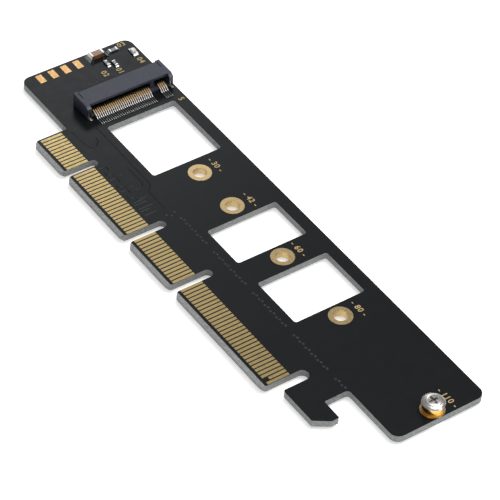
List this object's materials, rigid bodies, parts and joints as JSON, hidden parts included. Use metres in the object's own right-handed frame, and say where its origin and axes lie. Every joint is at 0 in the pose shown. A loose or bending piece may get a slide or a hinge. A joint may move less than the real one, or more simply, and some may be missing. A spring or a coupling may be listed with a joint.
{
  "type": "ssd adapter card",
  "caption": "Flat card with a routed edge connector and hook, a low drive socket at one end, a line of standoff holes with one standoff and screw, and rectangular windows.",
  "frame": {"origin": "middle of the card's length and height, on the plane of the under screw's head, which the card lies on", "axes": "+X along the edge contacts from the socket to the screw, +Y from the contacts to the card's top edge, +Z out of the component side"},
  "size_m": [0.1278, 0.036, 0.0056],
  "materials": {
    "board": "black solder mask over glass-fibre laminate, satin",
    "gold": "gold plating over copper, satin",
    "housing": "black moulded high-temperature plastic, matte",
    "spring_metal": "plated copper-alloy strip, bright",
    "tin": "tinned and soldered metal, bright",
    "ceramic": "brown ceramic, satin",
    "resistor_glaze": "black glaze on ceramic, glossy",
    "lamp_plastic": "white moulded plastic, matte",
    "lamp_lens": "milky clear resin, glossy",
    "brass": "turned brass, bright",
    "screw_plating": "nickel plated steel, bright"
  },
  "bodies": {
    "root": {"circuit_board": "board", "front_contacts_1": "gold", "front_contacts_2": "gold", "front_contacts_3": "gold", "front_contacts_4": "gold", "back_contacts_1": "gold", "back_contacts_2": "gold", "back_contacts_3": "gold", "back_contacts_4": "gold", "plated_hole_30": "gold", "plated_hole_42": "gold", "plated_hole_60": "gold", "plated_hole_80": "gold", "plated_hole_110": "gold", "bare_pads": "gold", "socket_housing": "housing", "socket_lower_contacts": "spring_metal", "socket_upper_contacts": "spring_metal", "socket_hold_downs": "tin", "capacitor_body": "ceramic", "capacitor_ends": "tin", "resistor_1_body": "resistor_glaze", "resistor_2_body": "resistor_glaze", "resistor_3_body": "resistor_glaze", "resistor_1_ends": "tin", "resistor_2_ends": "tin", "resistor_3_ends": "tin", "led_base": "lamp_plastic", "led_lens": "lamp_lens", "led_ends": "tin", "standoff": "brass", "drive_screw": "screw_plating", "standoff_screw": "screw_plating"}
  },
  "joints": []
}
